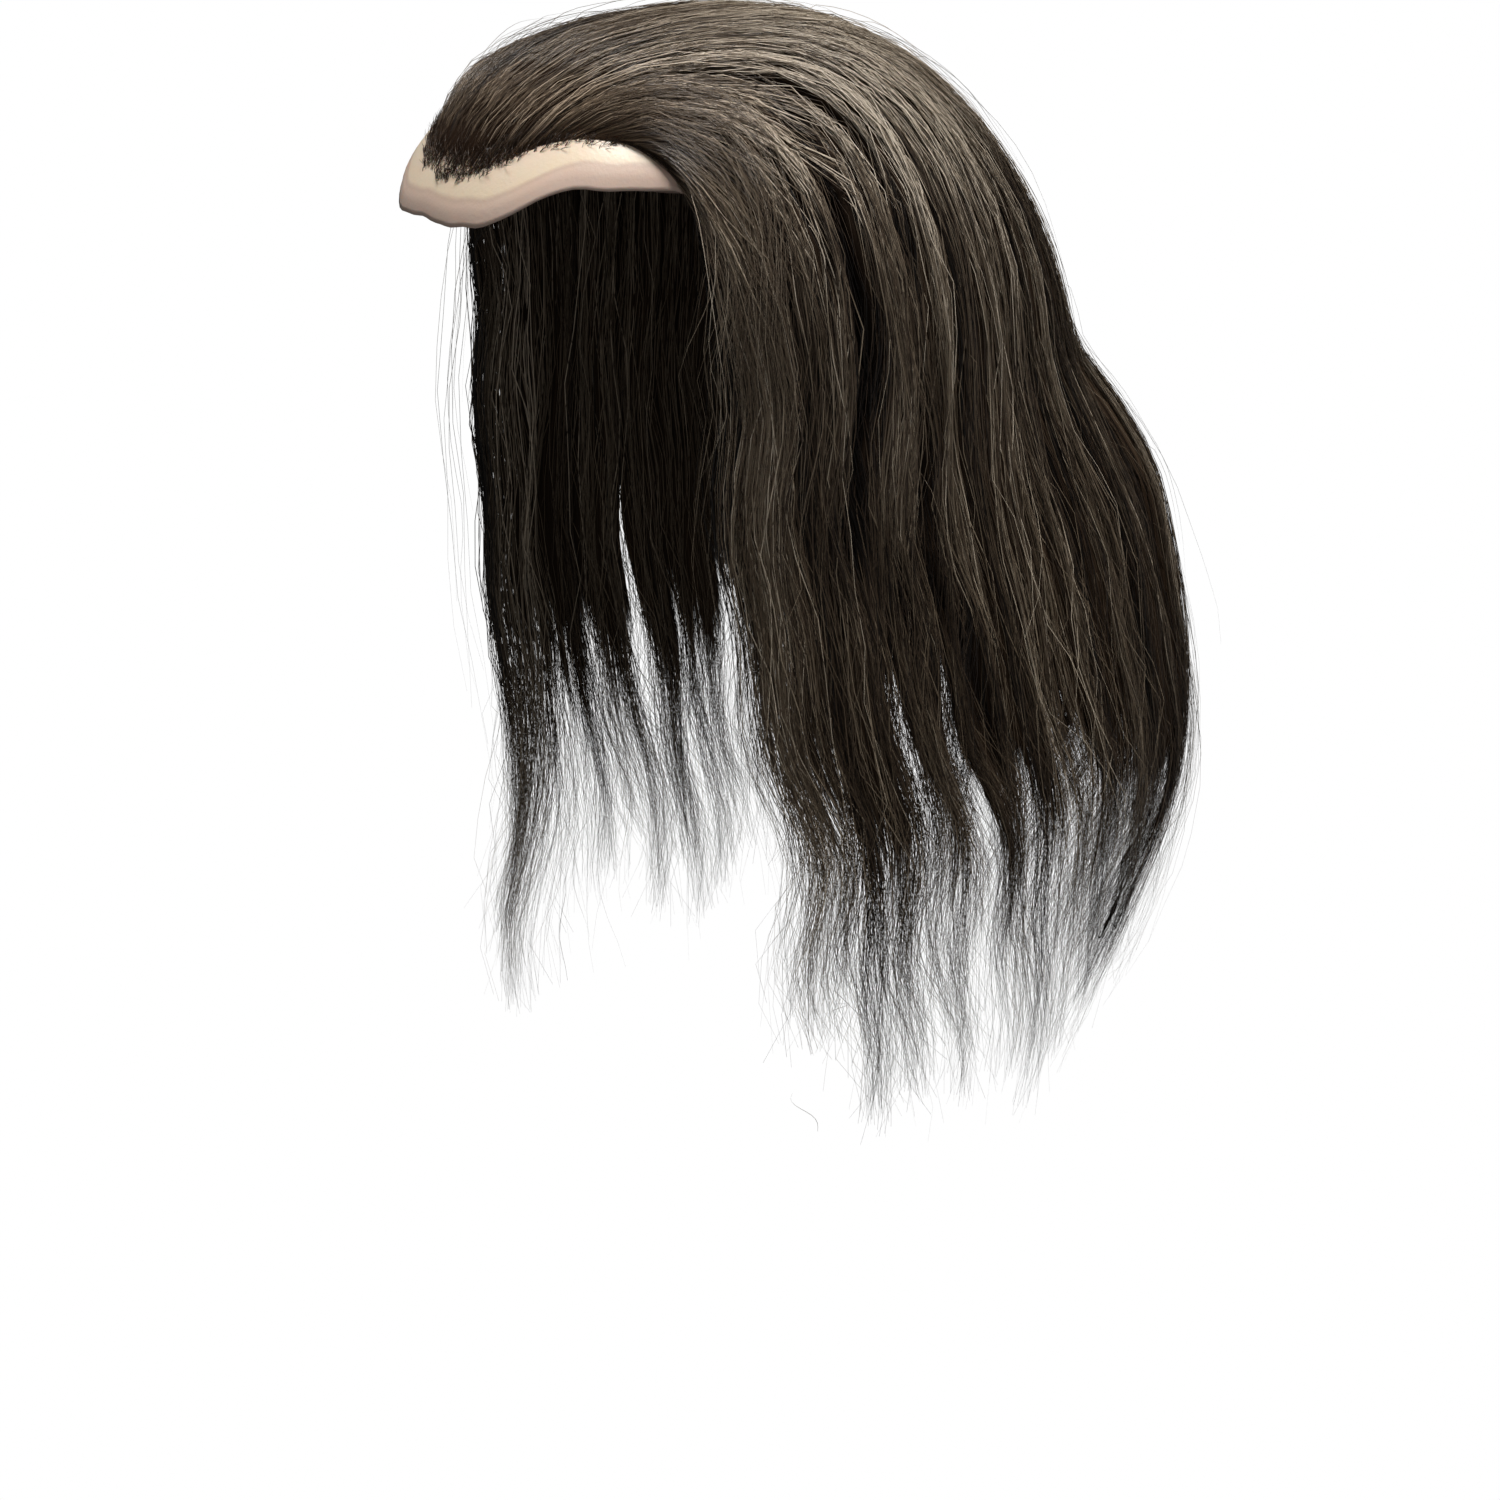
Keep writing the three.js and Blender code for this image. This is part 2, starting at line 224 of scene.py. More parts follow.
def skin_material():
    """Clear skin, warmer in its outer band, with a speckle and the knots of hair behind the line."""
    material, tree, shader = new_material("thin_skin", 0.34, 0.5)
    shader.inputs["Subsurface Weight"].default_value = 0.25
    shader.inputs["Subsurface Radius"].default_value = (0.004, 0.0018, 0.001)
    place = add_node(tree, "ShaderNodeUVMap", uv_map="skin")
    parts = add_node(tree, "ShaderNodeSeparateXYZ", links={"Vector": place.outputs["UV"]})
    spot = add_node(tree, "ShaderNodeTexCoord")
    cloud = add_node(
        tree, "ShaderNodeTexNoise", {"Scale": 60.0, "Detail": 4.0}, {"Vector": spot.outputs["Object"]},
    )
    wander = add_node(
        tree, "ShaderNodeMath", {1: 0.016}, {0: cloud.outputs["Fac"]}, operation="MULTIPLY",
    )
    band = add_node(
        tree, "ShaderNodeMath", links={0: parts.outputs["Y"], 1: wander.outputs[0]}, operation="ADD",
    )
    tone = add_ramp(tree, band.outputs[0], (
        (0.01, (0.60, 0.45, 0.37)),
        (0.064, (0.60, 0.45, 0.36)),
        (0.076, (0.54, 0.40, 0.31)),
        (0.090, (0.70, 0.57, 0.42)),
        (0.16, (0.68, 0.55, 0.42)),
        (0.24, (0.55, 0.40, 0.31)),
    ))
    knots = add_node(
        tree, "ShaderNodeTexVoronoi",
        {"Scale": 620.0, "Randomness": 0.85}, {"Vector": spot.outputs["Object"]},
    )
    dot = add_node(
        tree, "ShaderNodeMapRange",
        {"From Min": 0.16, "From Max": 0.30, "To Min": 1.0, "To Max": 0.0},
        {"Value": knots.outputs["Distance"]},
    )
    rooted = add_node(
        tree, "ShaderNodeMath", links={0: dot.outputs[0], 1: parts.outputs["X"]}, operation="MULTIPLY",
    )
    coloured = add_node(
        tree, "ShaderNodeMix", {"B": (0.06, 0.03, 0.018, 1.0)}, {"Factor": rooted.outputs[0], "A": tone},
        data_type="RGBA",
    )
    tree.links.new(coloured.outputs["Result"], shader.inputs["Base Color"])
    grain = add_node(
        tree, "ShaderNodeTexNoise", {"Scale": 900.0, "Detail": 3.0}, {"Vector": spot.outputs["Object"]},
    )
    bump = add_node(
        tree, "ShaderNodeBump", {"Strength": 0.25, "Distance": 0.0002}, {"Height": grain.outputs["Fac"]},
    )
    tree.links.new(bump.outputs["Normal"], shader.inputs["Normal"])
    return material


def rim_drop(turn):
    """Drop of the rim below the crown at a turn from the front."""
    return NAPE_DEPTH * read_rows(RIM, np.abs(turn) / math.pi)[..., 0]


def hairline_drop(turn):
    """Drop of the hairline: the rim's less the bare lip's depth."""
    rows = read_rows(RIM, np.abs(turn) / math.pi)
    return NAPE_DEPTH * rows[..., 0] - LIP_DEPTH * rows[..., 1]


def make_skin():
    """Cap between two grids of rings from the crown to the rim, the outer one feathered there.

    The rings close up towards the rim, whose edge is waved by the sum of two sines. The skin map
    holds how densely the skin is knotted (X) and its distance from the rim in HEAD_RADIUS (Y).
    """
    turn = math.pi - 2.0 * math.pi * np.arange(SKIN_SIDES) / SKIN_SIDES
    flutter = 0.0004 * np.sin(17.0 * turn) + 0.00015 * np.sin(41.0 * turn + 1.3)
    tilt = tilt_at_drop(turn, rim_drop(turn) + flutter)
    line = tilt_at_drop(turn, hairline_drop(turn))
    share = 1.0 - (1.0 - (np.arange(SKIN_RINGS) + 1.0) / SKIN_RINGS) ** 1.25
    tilts = tilt[:, None] * share
    arrows = direction(turn[:, None], tilts)
    reach = (tilt[:, None] - tilts) * HEAD_RADIUS
    wall = SKIN_EDGE_WALL + (SKIN_WALL - SKIN_EDGE_WALL) * smooth(reach / FEATHER_WIDTH)
    outer = on_head(arrows, wall)
    inner = on_head(arrows, np.zeros_like(wall))
    count = SKIN_SIDES * SKIN_RINGS
    numbers = np.arange(count).reshape(SKIN_SIDES, SKIN_RINGS)
    top = np.array([[0.0, 0.0, SKIN_WALL], [0.0, 0.0, 0.0]])
    points = np.concatenate([outer.reshape(-1, 3), inner.reshape(-1, 3), top])
    rim = np.stack([numbers[:, -1], np.roll(numbers[:, -1], -1)], -1)
    edge = np.concatenate([rim, rim[:, ::-1] + count], 1)
    crown = 2 * count
    first = np.stack([numbers[:, 0], np.roll(numbers[:, 0], -1)], -1)
    fan = np.concatenate([
        np.column_stack([np.full(SKIN_SIDES, crown), first[:, 1], first[:, 0]]),
        np.column_stack([np.full(SKIN_SIDES, crown + 1), first[:, 0] + count, first[:, 1] + count]),
    ])
    quads = np.concatenate([
        grid_faces(numbers, True),
        grid_faces(numbers, True)[:, ::-1] + count,
        edge,
    ])
    rooted = smooth((line[:, None] - tilts) / 0.03)
    skin_map = np.stack([rooted, reach / HEAD_RADIUS], -1).reshape(-1, 2)
    skin_map = np.concatenate([skin_map, skin_map, [[1.0, 1.0], [1.0, 1.0]]])
    return make_piece("skin_cap", points, [quads, fan], skin_material(), {"skin": skin_map})


skin_cap = make_skin()
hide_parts("base_skin")

# Hair locks: the mass of the hair in seven fused groups of locks, from the temples over the crown.
# Each is a soft wall of fine hair that arches back from the hairline and hangs in pointed locks.
HAIR_CLEARANCE = 0.0012
ROOT_THICKNESS = 0.0010
CROWN_THICKNESS = 0.0046
SIDE_THICKNESS = 0.0088
NAPE_THICKNESS = 0.024
BROW_THICKNESS = 0.0045
TIP_THICKNESS = 0.002
LOCK_GROOVE = 0.004
HANG_LENGTH = 0.254
BACK_FLARE = 0.048
SIDE_FLARE = 0.012
BACKWARD_SWAY = 0.026
LOCK_NOTCH = 0.042
HAIRLINE_HALF_ANGLE = 56.0
OUTER_LOCK_ANGLE = 68.0
MIDDLE_SPREAD = 0.4
ROOT_GATHER = 6.0
MIDDLE_ARCH = 3.6
OUTER_ARCH = 0.25
CLUMPS_PER_LOCK = 3
THIN_CLUMPS_PER_LOCK = 10

# Fall as a share of HANG_LENGTH, then shares of the back flare, side flare and backward sway, and
# the share of the layer's extra thickness that is left.
HANG = (
    (0.0, 0.0, 0.0, 0.0, 1.0),
    (0.1, 0.48, 0.2, 0.0, 0.8),
    (0.2, 0.8, 0.45, 0.05, 0.6),
    (0.42, 1.05, 0.9, 0.35, 0.4),
    (0.6, 0.97, 1.0, 0.7, 0.28),
    (0.8, 0.37, 0.8, 0.95, 0.15),
    (1.0, -0.3, 0.4, 1.0, 0.0),
)

# Each lock's width in the fan, length as a share of HANG_LENGTH and groove as one of LOCK_GROOVE.
ZONES = {
    "right_temple_hair": ((0.9, 0.8, 0.7), (1.1, 0.9, 0.9), (1.0, 0.86, 0.8)),
    "right_side_hair": ((1.0, 0.92, 1.0), (1.15, 0.87, 0.8), (0.9, 0.83, 0.9)),
    "right_crown_hair": ((1.1, 0.9, 1.0), (0.9, 0.96, 0.7), (1.0, 0.93, 0.9)),
    "top_hair": (
        (0.9, 0.99, 0.8), (1.1, 0.95, 0.7), (1.0, 1.0, 0.9),
        (0.9, 0.97, 0.7), (1.1, 1.0, 0.8), (1.0, 0.96, 1.0),
    ),
    "left_crown_hair": ((1.0, 0.98, 0.7), (1.1, 0.93, 1.0), (0.9, 0.84, 0.9)),
    "left_side_hair": ((0.9, 0.8, 1.0), (1.1, 0.86, 0.9), (1.0, 0.9, 0.7)),
    "left_temple_hair": ((1.0, 0.82, 1.0), (1.1, 0.86, 0.8), (0.9, 0.76, 0.7)),
}
locks = np.array([lock for zone in ZONES.values() for lock in zone])
lock_edge = np.concatenate([[0.0], np.cumsum(locks[:, 0])]) * 2.0 / locks[:, 0].sum() - 1.0
lock_middle = (lock_edge[1:] + lock_edge[:-1]) / 2.0
zone_start = np.concatenate([[0], np.cumsum([len(zone) for zone in ZONES.values()])])


def part_clumps(per_lock, seed):
    """Clumps that the locks part into, of uneven widths, each with its own depth, wave and tone."""
    rng = np.random.default_rng(seed)
    count = per_lock * len(locks)
    wide = rng.uniform(0.2, 1.9, (len(locks), per_lock))
    wide *= np.diff(lock_edge)[:, None] / wide.sum(1, keepdims=True)
    edge = lock_edge[0] + np.append(0.0, np.cumsum(wide))
    return {
        "edge": edge,
        "middle": (edge[1:] + edge[:-1]) / 2.0,
        "depth": rng.uniform(0.0, 1.0, count) ** 1.3,
        "pace": rng.uniform(4.0, 9.0, (2, count)),
        "start": rng.uniform(0.0, 6.3, (2, count)),
        "trim": rng.uniform(-0.20, 0.05, count),
        "drift": rng.normal(0.0, 0.011, count),
        "phase": np.cumsum(rng.normal(0.0, 0.75, count)),
        "sway": rng.uniform(0.3, 1.0, count),
        "tone": rng.normal(0.0, 0.08, count),
        "open": rng.uniform(1.3, 1.65, count + 1),
    }


# Three rows of clumps: the upper ones split and join again as the lower ones on the way down, and
# thin ones run through both.
upper_clumps = part_clumps(CLUMPS_PER_LOCK, 21)
lower_clumps = part_clumps(CLUMPS_PER_LOCK, 22)
thin_clumps = part_clumps(THIN_CLUMPS_PER_LOCK, 23)

# Gaps that open between the locks on the wearer's left: how wide each is in the fan, and its line,
# as w along the hair and place q.
GAPS = (
    (0.013, (
        (0.05, 0.15), (0.11, 0.28), (0.16, 0.5), (0.22, 0.63), (0.3, 0.7),
        (0.4, 0.8), (0.6, 0.84), (1.0, 0.83), (1.26, 0.87),
    )),
    (0.010, ((0.98, 0.75), (1.14, 0.745), (1.26, 0.80))),
    (0.010, ((1.18, 0.76), (1.3, 0.71), (1.5, 0.69))),
    (0.008, ((1.14, 0.815), (1.28, 0.80), (1.42, 0.75))),
    (0.006, ((0.32, 0.86), (0.5, 0.88), (0.66, 0.87), (0.85, 0.89))),
    (0.005, ((0.10, 0.83), (0.2, 0.865), (0.35, 0.90), (0.72, 0.93))),
    (0.006, ((0.38, 0.76), (0.64, 0.745), (0.86, 0.73))),
    (0.007, ((0.45, 0.49), (0.72, 0.44), (0.95, 0.40))),
)


def clump_at(clumps, q):
    """Number of the clump at each place q of the fan."""
    return np.clip(np.searchsorted(clumps["edge"], q) - 1, 0, len(clumps["middle"]) - 1)


def swell(clumps, i, w, row):
    """Slow rise and fall along a clump, from 0 to 1: a sine at the clump's own pace and start."""
    return 0.5 + 0.5 * np.sin(clumps["pace"][row][i] * w + clumps["start"][row][i])


def gap_at(q, w):
    """Nearness to the gaps, from 0 to 1, and how far they push the hair aside in the fan.

    The nearness is a bell curve of the distance from a gap's line, over its width, and fades at
    both its ends. The push is 1.4 widths away from the line, and fades over four widths.
    """
    near = np.zeros(np.broadcast(q, w).shape)
    push = np.zeros_like(near)
    for width, line in GAPS:
        row = np.array(line)
        away = q - np.interp(w, row[:, 0], row[:, 1])
        ends = smooth((w - row[0, 0]) / 0.08) * smooth((row[-1, 0] - w) / 0.12)
        near = np.maximum(near, np.exp(-((away / width) ** 2)) * ends)
        wide = np.exp(-((away / (4.0 * width)) ** 2)) * ends * smooth((w - 0.28) / 0.1)
        push = push + 1.4 * width * away / np.sqrt(away ** 2 + (0.3 * width) ** 2) * wide
    return near, push


def clump_groove(q, w):
    """How deep the locks' face lies between and over its clumps, as a share of LOCK_GROOVE.

    A clump sinks by up to 1.5 times its own depth, and its edges by up to 5 times the square of
    the distance from its middle as a share of its width, both as they swell along it. The rows
    change over below the crown. The gaps add up to 2.2.
    """
    deep = []
    for clumps in (upper_clumps, lower_clumps):
        i = clump_at(clumps, q)
        across = (q - clumps["middle"][i]) / (clumps["edge"][i + 1] - clumps["edge"][i])
        own = 1.5 * clumps["depth"][i] * swell(clumps, i, w, 0)
        deep.append(own + (1.0 + 4.0 * swell(clumps, i, w, 1)) * across ** 2)
    share = smooth((w - 0.85 - 0.2 * np.sin(9.0 * q)) / 0.6)
    return (deep[0] + (deep[1] - deep[0]) * share) * smooth(w / 0.35) + 2.2 * gap_at(q, w)[0]


def gather(place, w, lower, hold, ending):
    """Place in the fan of hair that is drawn to the middle of its lower clump on its way down.

    The share of the way to the middle swells below the crown, and grows towards the tip. The
    middle itself drifts aside on the way, so that some clumps meet and others leave a gap.
    """
    bound = 0.12 + 0.42 * swell(lower_clumps, lower, w, 1)
    pull = hold * (bound * smooth((w - 0.9) / 0.5) + 0.32 * smooth(ending))
    place = place + (lower_clumps["middle"][lower] - place) * pull
    return place + lower_clumps["drift"][lower] * smooth((w - 1.0) / 0.8)


def wave_at(q, w):
    """Sideways wave of the hair in metres, which all hair of a clump shares.

    It is the sum of two sines of the length along the hair, over 12 and 23 mm, that start from the
    clump's own phase and grow from the level of the temples down.
    """
    middle = lower_clumps["middle"]
    run = 0.17 * np.minimum(w, 1.0) + HANG_LENGTH * np.maximum(w - 1.0, 0.0)
    phase = np.interp(q, middle, lower_clumps["phase"])
    sway = np.interp(q, middle, lower_clumps["sway"]) * smooth((w - 0.7) / 0.6)
    return sway * (0.0026 * np.sin(run / 0.012 + phase) + 0.0036 * np.sin(run / 0.023 + 1.7 * phase))


def lock_columns(q):
    """Hanging length, as a share, and groove of the locks at places q of the fan.

    Across a lock both follow five points, low at its two grooves and full at its crest; a groove
    and the notch below it belong to both locks, so the shorter length and deeper groove count.
    """
    across = np.array([0.0, 0.25, 0.5, 0.75])
    height = np.array([0.0, 0.72, 1.0, 0.72])
    notch = np.array([1.0, 0.38, 0.0, 0.38])
    before = locks[np.maximum(np.arange(len(locks)) - 1, 0)]
    length = np.repeat(locks[:, 1:2], 4, 1)
    groove = np.repeat(locks[:, 2:3], 4, 1)
    length[:, 0] = np.minimum(locks[:, 1], before[:, 1])
    groove[:, 0] = np.maximum(locks[:, 2], before[:, 2])
    place = lock_edge[:-1, None] + np.diff(lock_edge)[:, None] * across
    place = np.append(place.ravel(), 1.0)
    cut = LOCK_NOTCH / HANG_LENGTH
    length = np.append((length - cut * notch).ravel(), locks[-1, 1] - cut)
    groove = np.append((groove * (1.0 - height)).ravel(), locks[-1, 2])
    return np.interp(q, place, length), np.interp(q, place, groove)


# The fan's places reach a quarter past its outermost locks, and a line's arch is read at even steps.
FAN_REACH = 1.25
FAN_STEP = 0.01
ARCH_STEPS = 60
fan = np.linspace(-FAN_REACH, FAN_REACH, 251)
arch = np.linspace(0.0, 1.0, ARCH_STEPS + 1)


def arch_arrows():
    """Arrows of the hair lines over the head, [place in the fan][share of the angle turned].

    A line's arrow goes along (1-u)^2 root + 2u(1-u) over + u^2 level, from its root in the hairline
    to its place at the widest level, and is then read at even shares of the angle it turns.
    """
    side = np.where(fan < 0.0, -1.0, 1.0)
    spread = np.abs(fan)
    inside = np.minimum(spread, 1.0)
    rooted = MIDDLE_SPREAD * spread + (1.0 - MIDDLE_SPREAD) * inside ** ROOT_GATHER
    turn = np.radians(side * HAIRLINE_HALF_ANGLE * rooted)
    root = direction(turn, tilt_at_drop(turn, hairline_drop(turn)))
    level_turn = np.radians(side * (180.0 - (180.0 - OUTER_LOCK_ANGLE) * spread))
    level = direction(level_turn, np.full_like(turn, math.pi / 2.0))
    over = level.copy()
    over[:, 2] += MIDDLE_ARCH + (OUTER_ARCH - MIDDLE_ARCH) * inside ** 2
    u = np.linspace(0.0, 1.0, 121)[:, None]
    d = (1.0 - u) ** 2 * root[:, None] + 2.0 * u * (1.0 - u) * over[:, None] + u * u * level[:, None]
    d /= np.linalg.norm(d, axis=-1, keepdims=True)
    step = np.arccos(np.clip((d[:, 1:] * d[:, :-1]).sum(-1), -1.0, 1.0))
    turned = np.concatenate([np.zeros((len(fan), 1)), np.cumsum(step, 1)], 1)
    even = [[np.interp(arch * t[-1], t, line[:, k]) for k in range(3)] for t, line in zip(turned, d)]
    return turn, np.moveaxis(np.array(even), 1, 2)


fan_turn, fan_arrow = arch_arrows()


def fan_place(q):
    """Place q as a count of the fan's steps, held inside the fan."""
    return np.clip((q + FAN_REACH) / FAN_STEP, 0.0, len(fan) - 1.001)


def hair_arrow(q, w):
    """Arrow at place q of the fan and share w of its arch, read between the four nearest."""
    x = fan_place(q)
    y = np.clip(w, 0.0, 1.0) * ARCH_STEPS
    i = x.astype(int)
    j = np.minimum(y.astype(int), ARCH_STEPS - 1)
    f = (x - i)[..., None]
    g = (y - j)[..., None]
    near = fan_arrow[i, j] * (1.0 - f) + fan_arrow[i + 1, j] * f
    far = fan_arrow[i, j + 1] * (1.0 - f) + fan_arrow[i + 1, j + 1] * f
    d = near + (far - near) * g
    return d / np.linalg.norm(d, axis=-1, keepdims=True)


def hair_point(q, w, level=0.0, lift=0.0, groove=0.0):
    """Point of the hair at place q of the fan and w along it: 0 to 1 over the head, more below.

    Over the head the arrow follows the line's arch. Below, the arrow is kept, w - 1 is the fall as
    a share of HANG_LENGTH, and a table gives the flare, sway and thinning. level is 0 on the
    layer's outer face and 1 on its inner one, and lift is added outward.
    """
    q, w, level, lift, groove = np.broadcast_arrays(q, w, level, lift, groove)
    spread = np.abs(q)
    d = hair_arrow(q, w)
    ends = np.where(d[..., 1] > 0.0, NAPE_THICKNESS * (1.0 - d[..., 2]), BROW_THICKNESS)
    full = CROWN_THICKNESS * d[..., 2] ** 2 + SIDE_THICKNESS * d[..., 0] ** 2 + ends * d[..., 1] ** 2
    full = full * (1.0 - 0.55 * smooth((spread - 0.8) / 0.2))
    fall = np.maximum(w - 1.0, 0.0)
    hang = read_rows(HANG, fall)
    above = ROOT_THICKNESS + (full - ROOT_THICKNESS) * smooth(w / 0.2)
    thick = np.where(w <= 1.0, above, TIP_THICKNESS + (full - TIP_THICKNESS) * hang[..., 3])
    outer = SKIN_WALL + HAIR_CLEARANCE + np.where(w <= 1.0, above, full)
    outer = outer + BACK_FLARE * hang[..., 0] * np.maximum(d[..., 1], 0.0) ** 2
    outer = outer + SIDE_FLARE * hang[..., 1] * d[..., 0] ** 2
    cut = groove * LOCK_GROOVE * thick / (thick + 2.0 * LOCK_GROOVE)
    p = on_head(d, outer - cut * (1.0 - level) - thick * level + lift)
    p[..., 1] += BACKWARD_SWAY * hang[..., 2] * (1.0 - d[..., 1] ** 2)
    p[..., 2] -= HANG_LENGTH * fall
    return p


def hair_tone_group():
    """Colour of dark ash-brown hair from a strand's own tone and its place from root to tip."""
    tree = bpy.data.node_groups.new("hair_tone", "ShaderNodeTree")
    tree.interface.new_socket("Tone", in_out="INPUT", socket_type="NodeSocketFloat")
    tree.interface.new_socket("Along", in_out="INPUT", socket_type="NodeSocketFloat")
    tree.interface.new_socket("Color", in_out="OUTPUT", socket_type="NodeSocketColor")
    given = tree.nodes.new("NodeGroupInput")
    result = tree.nodes.new("NodeGroupOutput")
    body = add_ramp(tree, given.outputs["Tone"], (
        (0.0, (0.006, 0.0041, 0.0031)),
        (0.22, (0.034, 0.021, 0.0128)),
        (0.45, (0.085, 0.059, 0.038)),
        (0.68, (0.155, 0.118, 0.081)),
        (0.88, (0.29, 0.234, 0.172)),
        (1.0, (0.62, 0.53, 0.42)),
    ))
    ends = add_ramp(tree, given.outputs["Along"], (
        (0.0, (0.62, 0.44, 0.33)),
        (0.035, (0.78, 0.70, 0.63)),
        (0.25, (1.0, 1.0, 1.0)),
        (1.0, (1.15, 1.12, 1.05)),
    ))
    colour = add_node(
        tree, "ShaderNodeMix", {"Factor": 1.0}, {"A": body, "B": ends},
        data_type="RGBA", blend_type="MULTIPLY",
    )
    tree.links.new(colour.outputs["Result"], result.inputs["Color"])
    return tree


hair_tone = hair_tone_group()


def lock_material():
    """Fine hair: streaks along it, painted shade in grooves and gaps, relief, and gaps where it thins."""
    material, tree, shader = new_material("hair_locks", 0.6, 0.06)
    place = add_node(tree, "ShaderNodeUVMap", uv_map="hair")
    parts = add_node(tree, "ShaderNodeSeparateXYZ", links={"Vector": place.outputs["UV"]})
    body = add_node(tree, "ShaderNodeUVMap", uv_map="body")
    thin_and_painted_shade = add_node(tree, "ShaderNodeSeparateXYZ", links={"Vector": body.outputs["UV"]})
    fine = add_node(
        tree, "ShaderNodeMapping", {"Scale": (1500.0, 3.0, 1.0)}, {"Vector": place.outputs["UV"]},
    )
    fibre = add_node(
        tree, "ShaderNodeTexNoise",
        {"Scale": 1.0, "Detail": 1.6, "Roughness": 0.55}, {"Vector": fine.outputs[0]},
    )
    tone = add_node(
        tree, "ShaderNodeMapRange",
        {"From Min": 0.3, "From Max": 0.75, "To Min": 0.0, "To Max": 0.5}, {"Value": fibre.outputs["Fac"]},
    )
    # Painted shade: the wall's tone stays in the darker half of the ramp, as the shade deep in the hair,
    # and is multiplied by the body map's Y, which is lower in the grooves and near the gaps.
    shaded = add_node(
        tree, "ShaderNodeMath", links={0: tone.outputs[0], 1: thin_and_painted_shade.outputs["Y"]}, operation="MULTIPLY",
    )
    colour = add_node(
        tree, "ShaderNodeGroup", links={"Tone": shaded.outputs[0], "Along": parts.outputs["Y"]},
        node_tree=hair_tone,
    )
    tree.links.new(colour.outputs["Color"], shader.inputs["Base Color"])
    bump = add_node(
        tree, "ShaderNodeBump", {"Strength": 0.9, "Distance": 0.0006}, {"Height": fibre.outputs["Fac"]},
    )
    tree.links.new(bump.outputs["Normal"], shader.inputs["Normal"])
    sparse = add_node(
        tree, "ShaderNodeMapRange",
        {"From Min": 0.0, "From Max": 1.0, "To Min": 0.16, "To Max": 0.76}, {"Value": thin_and_painted_shade.outputs["X"]},
    )
    gap = add_node(
        tree, "ShaderNodeMath", links={0: fibre.outputs["Fac"], 1: sparse.outputs[0]}, operation="SUBTRACT",
    )
    solid = add_node(
        tree, "ShaderNodeMapRange",
        {"From Min": -0.06, "From Max": 0.07, "To Min": 0.0, "To Max": 1.0}, {"Value": gap.outputs[0]},
    )
    tree.links.new(solid.outputs[0], shader.inputs["Alpha"])
    return material


def hairline_distance(points):
    """Distance of each point from the nearest point of the hairline."""
    turn = np.radians(np.linspace(-HAIRLINE_HALF_ANGLE, HAIRLINE_HALF_ANGLE, 121))
    line = on_head(direction(turn, tilt_at_drop(turn, hairline_drop(turn))), SKIN_WALL)
    return np.linalg.norm(points[..., None, :] - line, axis=-1).min(-1)


# A step across the fan that finds the direction across the hair, and the share of the hair's
# length that lies over the head.
ASIDE = 0.004
ARCH_SHARE = 0.45
LOCK_COLUMNS = (-0.49, -0.38, -0.22, -0.07, 0.07, 0.22, 0.38, 0.49)


